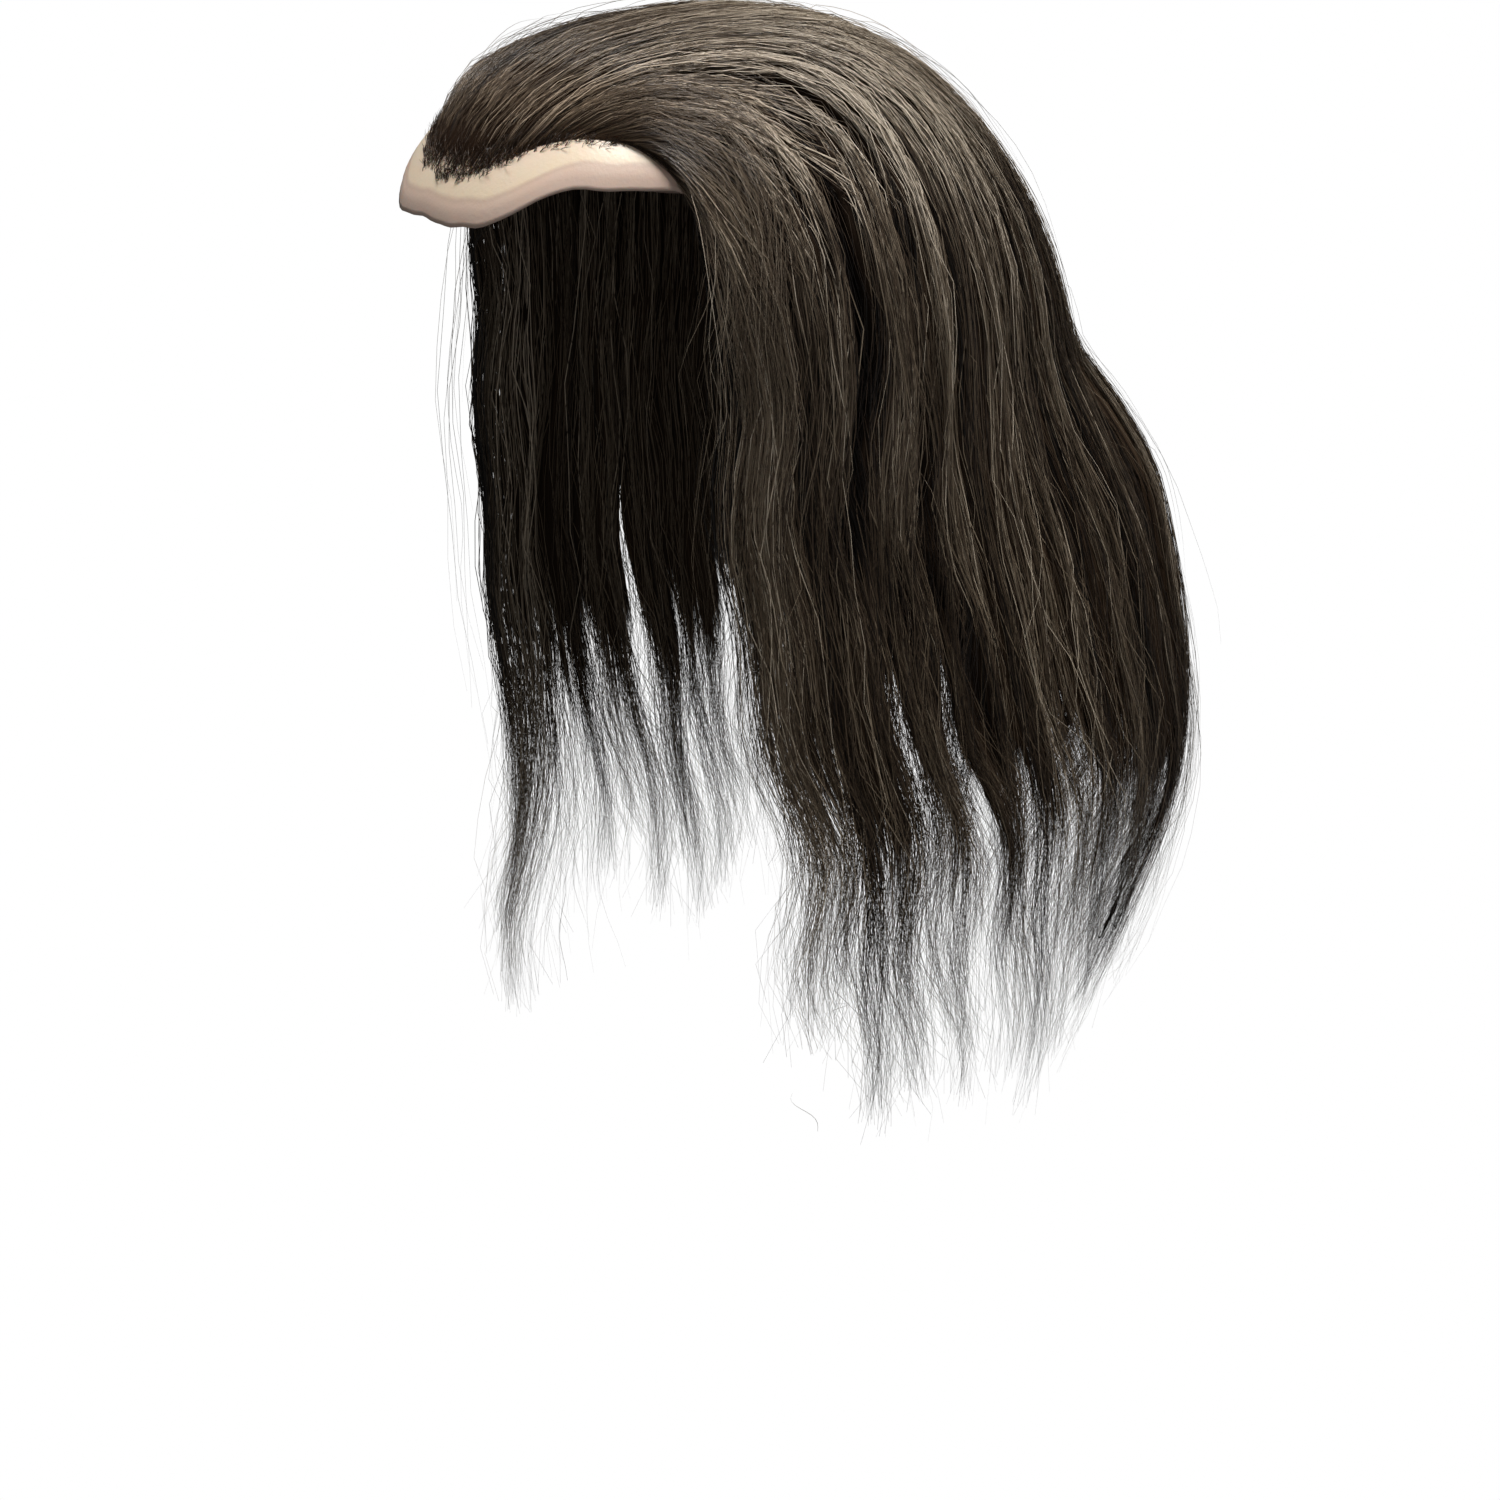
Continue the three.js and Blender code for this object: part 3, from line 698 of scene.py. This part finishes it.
def make_locks(name, first, last, material):
    """Closed wall between an outer and an inner grid of a zone, with its hem in locks.

    Eight columns stand across each lower clump and are gathered to its middle like the loose hair,
    so the faces between two clumps widen and open there into see-through gaps. The zone's own
    edges let go last. The body map holds how thin the wall is (X), from the hairline, the front
    edges, the tips and those gaps, and its painted shade (Y), a brightness that is painted lower in
    the grooves and near the gaps.
    """
    clump = np.arange(CLUMPS_PER_LOCK * first, CLUMPS_PER_LOCK * last)
    low = lower_clumps["edge"][clump][:, None]
    wide = lower_clumps["edge"][clump + 1][:, None] - low
    across = np.array(LOCK_COLUMNS)
    q = (low + wide * (0.5 + across)).ravel()
    q[0], q[-1] = lock_edge[first], lock_edge[last]
    lower = np.repeat(clump, len(across))[:, None]
    side = np.tile(np.where(np.abs(across) > 0.4, np.sign(across), 0.0), len(clump))[:, None]
    opened = lower_clumps["open"][lower + (side > 0.0)]
    hang = lock_columns(q)[0]
    share = np.concatenate([np.linspace(0.0, 1.0, 23), 1.0 + np.linspace(0.0, 1.0, 25)[1:]])
    w = np.where(share > 1.0, 1.0 + (share - 1.0) * hang[:, None] * 0.97, share)
    free = np.ones(w.shape)
    free[[0, -1]] = smooth((share - 1.3) / 0.4)
    place = q[:, None] + (gather(q[:, None], w, lower, 0.9, (share - 1.4) / 0.5) - q[:, None]) * free
    groove = lock_columns(place)[1]
    near = gap_at(place, w)[0]
    deep = groove + clump_groove(place, w)
    outer = hair_point(place, w, 0.0, -0.0008, deep)
    inner = hair_point(place, w, 0.94)
    beside = hair_point(place + ASIDE, w) - hair_point(place, w)
    beside /= np.linalg.norm(beside, axis=-1, keepdims=True)
    wave = beside * wave_at(place, w)[..., None]
    outer, inner = outer + wave, inner + wave
    count = outer.shape[0] * outer.shape[1]
    numbers = np.arange(count).reshape(outer.shape[:2])
    points = np.concatenate([outer.reshape(-1, 3), inner.reshape(-1, 3)])
    border = np.concatenate([numbers[:, 0], numbers[-1, 1:], numbers[-2::-1, -1], numbers[0, -2:0:-1]])
    onward = np.roll(border, -1)
    quads = np.concatenate([
        grid_faces(numbers),
        grid_faces(numbers)[:, ::-1] + count,
        np.column_stack([onward, border, border + count, onward + count]),
    ])
    fallen = ARCH_SHARE + (1.0 - ARCH_SHARE) * (share - 1.0)
    along = np.where(share > 1.0, fallen, ARCH_SHARE * share)
    tone = np.stack(np.broadcast_arrays(place * 0.5 + 0.5, along), -1).reshape(-1, 2)
    thin = 1.0 - smooth((hairline_distance(outer) - 0.002) / 0.014)
    thin = np.maximum(thin, smooth((share - 1.44) / 0.44))
    thin = np.maximum(thin, 1.0 - smooth((1.0 - np.abs(q[:, None])) / 0.09))
    ahead = np.linalg.norm(np.diff(outer, axis=0, append=outer[-1:]), axis=-1)
    between = np.where(side > 0.0, ahead, np.roll(ahead, 1, 0)) * (side != 0.0)
    thin = np.maximum(thin, smooth((between - 0.001) / 0.002) * smooth((share - opened) / 0.35))
    # Painted shade: the hair is darker where the locks' face lies deep in its grooves and near the gaps.
    light = np.clip(1.2 - 0.3 * deep, 0.05, 1.0) * (1.0 - 0.9 * near)
    body = np.stack([thin, light], -1).reshape(-1, 2)
    maps = {"hair": np.concatenate([tone, tone]), "body": np.concatenate([body, body])}
    return make_piece(name, points, [quads], material, maps)


locks_finish = lock_material()
for number, zone in enumerate(ZONES):
    name = zone.replace("_hair", "_locks")
    piece = make_locks(name, zone_start[number], zone_start[number + 1], locks_finish)
    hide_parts(zone)

# Loose hair over the locks: single bundles of hair knotted all over the base, each about 280 mm
# long. They lie on both faces of the locks, draw together towards the tips and end in fine points.
HAIR_LENGTH = 0.28
HAIR_RINGS = 19
BUNDLE_COUNT = 7200
BUNDLE_WIDTHS = (0.00018, 0.00046)
FRONT_SHARE = 0.4
OUTSIDE_SHARE = 0.78
STRAY_SHARE = 0.2
FRONT_LOCK = 0.86
CURL_DEPTH = 0.026


def arc_table():
    """Length along each line of the fan from the hairline, at each w and at the widest level."""
    w = np.concatenate([arch, np.linspace(1.0, 2.2, 61)[1:]])
    p = hair_point(fan[:, None], w)
    step = np.linalg.norm(np.diff(p, axis=1), axis=-1)
    arc = np.concatenate([np.zeros((len(fan), 1)), np.cumsum(step, 1)], 1)
    return w, arc, arc[:, ARCH_STEPS]


arc_w, arc_length, arc_level = arc_table()


def along_at(q, s):
    """Place w along the hair at which it is s long, read between the two nearest table rows."""
    place = fan_place(q)
    i = place.astype(int)
    f = place - i
    result = np.zeros(s.shape)
    for k, share in ((i, 1.0 - f), (i + 1, f)):
        rows = arc_length[k]
        low = np.clip((rows[..., None, :] <= s[..., :, None]).sum(-1) - 1, 0, len(arc_w) - 2)
        a = np.take_along_axis(rows, low, -1)
        b = np.take_along_axis(rows, low + 1, -1)
        rise = np.clip((s - a) / (b - a), 0.0, 1.0)
        result += share[:, None] * (arc_w[low] + (arc_w[low + 1] - arc_w[low]) * rise)
    return result


def unit(v):
    """Arrows made one long."""
    return v / (np.linalg.norm(v, axis=-1, keepdims=True) + 1e-12)


def strand_tubes(path, across, width, flatness=0.6):
    """Three-sided tapering tubes along paths [strand][ring], closed by a triangle at each end.

    Each ring stands on the path's direction and the direction across the hair, and its three
    corners are a third of a turn apart, with the radius falling to a fifth at the tip.
    """
    n, rings = path.shape[:2]
    ahead = unit(np.gradient(path, axis=1))
    side = unit(across - (across * ahead).sum(-1, keepdims=True) * ahead)
    out = np.cross(ahead, side)
    share = np.linspace(0.0, 1.0, rings)
    taper = (0.6 + 0.4 * smooth(share / 0.2)) * (1.0 - 0.8 * smooth((share - 0.45) / 0.55))
    radius = 0.5 * width[:, None] * taper
    angle = np.radians([90.0, 210.0, 330.0])
    points = path[:, :, None] + radius[:, :, None, None] * (
        np.cos(angle)[:, None] * side[:, :, None] + flatness * np.sin(angle)[:, None] * out[:, :, None]
    )
    numbers = np.arange(n * rings * 3).reshape(n, rings, 3)
    turned = np.roll(numbers, -1, 2)
    quads = np.stack([numbers[:, :-1], turned[:, :-1], turned[:, 1:], numbers[:, 1:]], -1).reshape(-1, 4)
    caps = np.concatenate([numbers[:, 0, ::-1], numbers[:, -1]])
    return points.reshape(-1, 3), [quads, caps]


def strand_map(tone, gone):
    """Map of a tube's corners: tone across and the share of the hair's length that is gone down."""
    uv = np.stack(np.broadcast_arrays(tone[..., None], gone[..., None] + np.zeros(3)), -1)
    return {"hair": np.clip(uv.reshape(-1, 2), 0.0, 1.0)}


def strand_material(name, roughness, specular):
    """Single hairs: each keeps a tone from its own map, warmer at the root and paler at the tip."""
    material, tree, shader = new_material(name, roughness, specular)
    place = add_node(tree, "ShaderNodeUVMap", uv_map="hair")
    parts = add_node(tree, "ShaderNodeSeparateXYZ", links={"Vector": place.outputs["UV"]})
    colour = add_node(
        tree, "ShaderNodeGroup", links={"Tone": parts.outputs["X"], "Along": parts.outputs["Y"]},
        node_tree=hair_tone,
    )
    tree.links.new(colour.outputs["Color"], shader.inputs["Base Color"])
    shine = add_node(
        tree, "ShaderNodeMapRange",
        {"From Min": 0.0, "From Max": 1.0, "To Min": roughness + 0.08, "To Max": roughness - 0.08},
        {"Value": parts.outputs["X"]},
    )
    tree.links.new(shine.outputs[0], shader.inputs["Roughness"])
    return material


def scatter_roots(count, seed):
    """Places q in the fan and lengths s along the hair of roots spread evenly over the base.

    The front share stands close behind the hairline, even along its length. The others are even
    over the skin: a cell of the fan's grid is drawn with a chance that grows with its area.
    """
    rng = np.random.default_rng(seed)
    front = int(FRONT_SHARE * count)
    turn = np.radians(rng.uniform(-1.0, 1.0, front) * HAIRLINE_HALF_ANGLE)
    front_q = np.interp(turn, fan_turn, fan)
    front_s = rng.exponential(0.006, front)
    q = np.linspace(-1.0, 1.0, 201)
    w = np.linspace(0.0, 1.0, 81)
    p = hair_point(q[:, None], w, 1.0, -HAIR_CLEARANCE)
    area = np.linalg.norm(np.cross(p[1:, :-1] - p[:-1, :-1], p[:-1, 1:] - p[:-1, :-1]), axis=-1)
    area *= -p[:-1, :-1, 2] < rim_drop(np.arctan2(p[:-1, :-1, 0], -p[:-1, :-1, 1]))
    total = np.cumsum(area.ravel())
    cell = np.searchsorted(total, rng.random(count - front) * total[-1])
    i, j = np.unravel_index(np.minimum(cell, area.size - 1), area.shape)
    rest_q = q[i] + FAN_STEP * rng.random(len(i))
    rest_w = w[j] + rng.random(len(j)) / 80.0
    place = np.round(fan_place(rest_q)).astype(int)
    rest_s = np.array([np.interp(a, arc_w, arc_length[k]) for a, k in zip(rest_w, place)])
    return np.append(front_q, rest_q), np.append(front_s, rest_s)


def make_strands(name, q, start, material, seed):
    """Loose hair of one zone.

    A hair starts in the skin, rises to its own level of the layer in 12 mm at the hairline or
    30 mm elsewhere, and runs for about HAIR_LENGTH. On the way its place in the fan is drawn to
    the middles of its thin clump and its upper one, as they swell, then of its lower one, and off
    the gaps. Painted shade makes hair darker that lies deeper, in a groove or near a gap, and on
    the sides below the temples, less so at the front edges; a painted sheen lightens the crown.
    Some hair at the temples strays ahead of the front edge, and the foremost lock on the wearer's
    right is longer and curls forward at its tip.
    """
    rng = np.random.default_rng(seed)
    count = len(q)
    upper = clump_at(upper_clumps, q)
    thin = clump_at(thin_clumps, q)
    pulled = q + (upper_clumps["middle"][upper] - q) * 0.5
    lower = clump_at(lower_clumps, pulled + rng.normal(0.0, 0.006, count))
    tip = np.interp(q, lock_middle, locks[:, 1]) + 0.07 + lower_clumps["trim"][lower]
    curl = smooth((-q - FRONT_LOCK) / 0.06)
    tip = tip + 0.1 * curl
    tip = np.minimum(tip - rng.exponential(0.09, count), 1.06 - rng.exponential(0.02, count))
    tip = np.interp(q, fan, arc_level) + HANG_LENGTH * tip
    length = HAIR_LENGTH * rng.uniform(0.9, 1.1, count)
    finish = np.where(rng.random(count) < 0.75, tip, np.minimum(start + length, tip))
    share = np.linspace(0.0, 1.0, HAIR_RINGS)
    s = start[:, None] + (finish - start)[:, None] * share
    w = along_at(q, s)
    gone = s / tip[:, None]
    stray = (rng.random(count) < STRAY_SHARE)[:, None]
    hold = np.where(stray, 0.3, rng.uniform(0.75, 1.05, count)[:, None])
    bound = 0.7 * swell(thin_clumps, thin[:, None], w, 1) * smooth(w / 0.1)
    place = q[:, None] + (thin_clumps["middle"][thin] - q)[:, None] * bound * hold
    bound = (0.1 + 0.5 * swell(upper_clumps, upper[:, None], w, 1)) * smooth((w - 0.1) / 0.4)
    place = place + (upper_clumps["middle"][upper][:, None] - place) * bound * hold
    place = gather(place, w, lower[:, None], hold, (gone - 0.6) / 0.35)
    place = place + rng.normal(0.0, 1.0, count)[:, None] * np.where(stray, 0.026, 0.009) * gone ** 2
    near, push = gap_at(place, w)
    place = place + push * np.where(stray, 0.3, 1.0)
    ahead = rng.exponential(0.011, count) * smooth((np.abs(q) - FRONT_LOCK) / 0.1)
    place = place + np.sign(q)[:, None] * ahead[:, None] * smooth(w / 0.3)
    place = place + (-0.95 - place) * 0.75 * curl[:, None] * smooth((w - 1.45) / 0.35)
    outside = rng.random(count) < OUTSIDE_SHARE
    deep = np.abs(rng.normal(0.0, 0.12, count))
    level = np.where(outside, deep, 1.0 - 0.6 * deep)
    groove = lock_columns(place)[1] + clump_groove(place, w) * outside[:, None]
    fuzz = np.abs(rng.normal(0.0, 1.0, count))[:, None] * np.where(stray, 0.0011, 0.0004)
    sign = np.where(outside, 1.0, -1.0)[:, None]
    lift = sign * fuzz * (smooth(share / 0.2) + 4.0 * smooth((gone - 0.7) / 0.3))
    skin = hair_point(place, w, 1.0, -HAIR_CLEARANCE)
    laid = hair_point(place, w, level[:, None], lift, groove)
    rise = np.where(start < 0.02, 0.012, 0.030)[:, None]
    path = skin + (laid - skin) * smooth((s - start[:, None]) / rise)[..., None]
    beside = unit(hair_point(place + ASIDE, w, level[:, None], lift, groove) - laid)
    own = np.zeros_like(s)
    for height, low, high in ((0.0009, 0.009, 0.020), (0.0003, 0.004, 0.008)):
        turns = s / rng.uniform(low, high, count)[:, None] + rng.uniform(0.0, 6.3, count)[:, None]
        own += height * np.where(stray, 3.0, 1.0) * np.sin(turns)
    own *= smooth(share / 0.15) * (1.0 + 1.8 * smooth((gone - 0.6) / 0.35))
    path = path + beside * (wave_at(place, w) + own)[..., None]
    path[..., 1] -= CURL_DEPTH * curl[:, None] * smooth((w - 1.6) / 0.3)
    points, faces = strand_tubes(path, beside, rng.uniform(*BUNDLE_WIDTHS, count))
    tone = 0.50 + upper_clumps["tone"][upper] + lower_clumps["tone"][lower] + thin_clumps["tone"][thin]
    own_tone = rng.normal(0.0, 0.2, count)
    # Painted shade: the tone falls near the gaps, in the grooves and with depth in the layer.
    tone = (tone + own_tone + 0.12 * stray[:, 0])[:, None] - 0.5 * near
    tone = tone - 0.25 * (groove - 1.2) * outside[:, None] - 1.2 * np.where(outside, deep, -0.15)[:, None]
    # Painted sheen: the crown's hair is lighter, as if lit from above.
    painted_crown_sheen = smooth((w - 0.15) / 0.34) * smooth((laid[..., 2] + 0.055) / 0.04)
    # Painted shade: the sides below the temples are darker, less so at the front edges, which end a little
    # lighter.
    shaded = smooth((w - 0.7) / 0.4) * (1.0 - 1.3 * smooth((np.abs(place) - FRONT_LOCK) / 0.08))
    tone = tone + (0.52 + 1.1 * own_tone[:, None]) * painted_crown_sheen - 0.18 * shaded
    return make_piece(name, points, faces, material, strand_map(tone, gone))


strand_finish = strand_material("hair_strands", 0.32, 0.55)
root_q, root_s = scatter_roots(BUNDLE_COUNT, 90)
for number, zone in enumerate(ZONES):
    inside = (root_q >= lock_edge[zone_start[number]]) & (root_q < lock_edge[zone_start[number + 1]])
    name = zone.replace("_hair", "_strands")
    make_strands(name, root_q[inside], root_s[inside], strand_finish, 100 + number)

# Roots at the hairline: short new-looking hairs knotted singly into the skin, which make the line
# uneven and let the skin show between them. They lean back with the comb, and a few lean forward.
ROOT_RINGS = 4
ROOT_COUNT = 1300
ROOT_WIDTHS = (0.00012, 0.00026)


def make_roots(count, seed):
    """Short hairs along the hairline, from 5 mm behind it to a sparse few 3 mm in front.

    The way from the skin is share times the lean in the skin's plane plus the outward arrow times
    0.7 share less 0.35 share squared, all times the hair's length.
    """
    rng = np.random.default_rng(seed)
    turn = np.radians(rng.uniform(-1.0, 1.0, count) * HAIRLINE_HALF_ANGLE)
    q = np.interp(turn, fan_turn, fan)
    ahead_of = 0.0024 * rng.random(count) ** 0.5 - rng.exponential(0.0032, count)
    ahead_of += 0.0008 * np.sin(23.0 * turn) * np.sin(57.0 * turn + 1.0)
    tilt = tilt_at_drop(turn, hairline_drop(turn)) + ahead_of / HEAD_RADIUS
    base = on_head(direction(turn, tilt), SKIN_WALL)
    up = unit(on_head(direction(turn, tilt - 0.01), SKIN_WALL) - base)
    comb = unit(hair_point(q, 0.05, 1.0, -HAIR_CLEARANCE) - hair_point(q, 0.0, 1.0, -HAIR_CLEARANCE))
    aside = unit(on_head(direction(turn + 0.01, tilt), SKIN_WALL) - base)
    out = unit(np.cross(aside, up))
    out *= np.sign((out * base).sum(-1, keepdims=True) + 1e-9)
    ahead = unit(up + 0.9 * comb)
    aside = np.cross(out, ahead)
    lean = rng.normal(0.0, 0.55, count)
    length = rng.uniform(0.0022, 0.0075, count) * np.where(ahead_of > 0.0, 0.6, 1.0)
    along = ahead * np.cos(lean)[:, None] + aside * np.sin(lean)[:, None]
    share = np.linspace(0.0, 1.0, ROOT_RINGS)[None, :, None]
    rise = 0.7 * share - 0.35 * share ** 2
    path = base[:, None] + length[:, None, None] * (along[:, None] * share + out[:, None] * rise)
    across = np.repeat(unit(np.cross(out, along))[:, None], ROOT_RINGS, 1)
    points, faces = strand_tubes(path, across, rng.uniform(*ROOT_WIDTHS, count), 1.0)
    tone = np.clip(rng.normal(0.30, 0.10, count), 0.05, 0.7)[:, None] + np.zeros(ROOT_RINGS)
    gone = np.full_like(tone, 0.02)
    return make_piece("hairline_roots", points, faces, strand_finish, strand_map(tone, gone))


make_roots(ROOT_COUNT, 301)

# Wisps and flyaways: thin single hairs that have left the locks. They hang loose in front of both
# temples, stand off the surface in low arcs, and trail below the hem.
FINE_RINGS = 11
FINE_WIDTHS = (0.00010, 0.00020)
RIGHT_WISPS = 40
LEFT_WISPS = 190
FLYAWAYS = 260
HEM_HAIRS = 190


def make_fine_hair(name, q, hang, start, length, lift, wander, seed):
    """Thin hairs off the locks, from place q of the fan at the root to place hang further down.

    Between its ends a hair stands off by its lift times the sine of half a turn, plus what is left
    at the tip, and it strays sideways by wander times a sine of up to one and a half turns.
    """
    rng = np.random.default_rng(seed)
    count = len(q)
    share = np.linspace(0.0, 1.0, FINE_RINGS)
    ends = np.minimum(np.interp(hang, lock_middle, locks[:, 1]) + rng.uniform(-0.08, 0.14, count), 1.06)
    finish = np.minimum(start + length, np.interp(hang, fan, arc_level) + HANG_LENGTH * ends)
    s = start[:, None] + (finish - start)[:, None] * share
    w = along_at(q, s)
    place = q[:, None] + (hang - q)[:, None] * smooth(w / 0.9)
    off = lift[:, None] * (0.7 * np.sin(math.pi * share) + 0.5 * share ** 2)
    laid = hair_point(place, w, 0.0, off)
    skin = hair_point(place, w, 1.0, -HAIR_CLEARANCE)
    path = skin + (laid - skin) * smooth((s - start[:, None]) / 0.012)[..., None]
    beside = unit(hair_point(place + ASIDE, w, 0.0, off) - laid)
    turns = rng.uniform(0.4, 1.5, count)[:, None]
    phase = rng.uniform(0.0, 6.3, count)[:, None]
    stray = wander[:, None] * (np.sin(2.0 * math.pi * turns * share + phase) - np.sin(phase))
    path = path + beside * (stray * share + wave_at(place, w))[..., None]
    points, faces = strand_tubes(path, beside, rng.uniform(*FINE_WIDTHS, count), 1.0)
    tone = np.clip(rng.normal(0.6, 0.16, count), 0.1, 1.0)[:, None] + np.zeros(FINE_RINGS)
    return make_piece(name, points, faces, strand_finish, strand_map(tone, w / 2.0))


def lay_fine_hair():
    """Wisps at each temple beyond the outermost lock, flyaways all over and long hairs at the hem."""
    rng = np.random.default_rng(401)
    for name, side, count in (("right_wisps", -1.0, RIGHT_WISPS), ("left_wisps", 1.0, LEFT_WISPS)):
        turn = np.radians(rng.uniform(24.0, 56.0, count))
        q = side * np.interp(turn, fan_turn, fan)
        hang = side * (0.95 + np.abs(rng.normal(0.0, 0.05, count)))
        length = rng.uniform(0.08, 0.27, count)
        lift = rng.uniform(-0.001, 0.003, count)
        start = rng.exponential(0.004, count)
        wander = rng.uniform(0.001, 0.007, count)
        make_fine_hair(name, q, hang, start, length, lift, wander, int(410 + side))
    q = rng.uniform(-1.0, 1.0, FLYAWAYS)
    start = rng.uniform(0.0, 0.34, FLYAWAYS)
    length = rng.uniform(0.03, 0.10, FLYAWAYS)
    lift = 0.0045 * rng.random(FLYAWAYS) ** 2 + 0.0004
    wander = rng.uniform(0.003, 0.010, FLYAWAYS)
    make_fine_hair("flyaway_hair", q, q, start, length, lift, wander, 420)
    q = rng.uniform(-1.0, 1.0, HEM_HAIRS)
    length = rng.uniform(0.06, 0.14, HEM_HAIRS)
    ends = np.interp(q, fan, arc_level) + HANG_LENGTH * np.interp(q, lock_middle, locks[:, 1])
    lift = rng.uniform(-0.004, 0.004, HEM_HAIRS)
    wander = rng.uniform(0.002, 0.008, HEM_HAIRS)
    make_fine_hair("hem_hair", q, q, ends - length, length + 0.03, lift, wander, 430)


lay_fine_hair()

# Studio: plain white all round, a plain white floor far below the hair, and soft light from above
# and from the front. The floor is as bright as what is round it, so no horizon cuts the fine hair.
FLOOR_DEPTH = 1.7
FLOOR_HALF_WIDTH = 6.0
SEEN_BRIGHTNESS = 1.0
FILL_BRIGHTNESS = 0.1


def add_light(name, way, strength, softness):
    """A far soft light that shines from a way, as wide as its softness in radians."""
    data = bpy.data.lights.new(name, "SUN")
    data.energy = strength
    data.angle = softness
    lamp = bpy.data.objects.new(name, data)
    bpy.context.scene.collection.objects.link(lamp)
    lamp.rotation_euler = Vector(way).to_track_quat("Z", "Y").to_euler()


def even_white(tree):
    """Strength of white that the camera sees at full brightness and that fills the shade faintly."""
    sight = add_node(tree, "ShaderNodeLightPath")
    glow = add_node(
        tree, "ShaderNodeMapRange",
        {"From Min": 0.0, "From Max": 1.0, "To Min": FILL_BRIGHTNESS, "To Max": SEEN_BRIGHTNESS},
        {"Value": sight.outputs["Is Camera Ray"]},
    )
    return glow.outputs[0]


def make_world():
    """White all round."""
    world = bpy.data.worlds.new("studio")
    world.use_nodes = True
    white = world.node_tree.nodes["Background"]
    white.inputs["Color"].default_value = (1.0, 1.0, 1.0, 1.0)
    world.node_tree.links.new(even_white(world.node_tree), white.inputs["Strength"])
    bpy.context.scene.world = world


def make_floor():
    """A level square as far below the crown as the ground under a standing wearer."""
    corners = np.array([[-1.0, -1.0, 0.0], [1.0, -1.0, 0.0], [1.0, 1.0, 0.0], [-1.0, 1.0, 0.0]])
    mesh = bpy.data.meshes.new("floor")
    mesh.from_pydata((corners * FLOOR_HALF_WIDTH - [0.0, 0.0, FLOOR_DEPTH]).tolist(), [], [[0, 1, 2, 3]])
    material = bpy.data.materials.new("white_floor")
    material.use_nodes = True
    tree = material.node_tree
    white = add_node(tree, "ShaderNodeEmission", links={"Strength": even_white(tree)})
    tree.links.new(white.outputs[0], tree.nodes["Material Output"].inputs["Surface"])
    mesh.materials.append(material)
    floor = bpy.data.objects.new("floor", mesh)
    bpy.context.scene.collection.objects.link(floor)


add_light("key_light", (0.09, 0.04, 1.0), 5.2, 0.45)
add_light("front_light", (0.7, -1.0, 0.45), 0.28, 0.8)
make_world()
make_floor()
bpy.context.scene.view_settings.view_transform = "Standard"
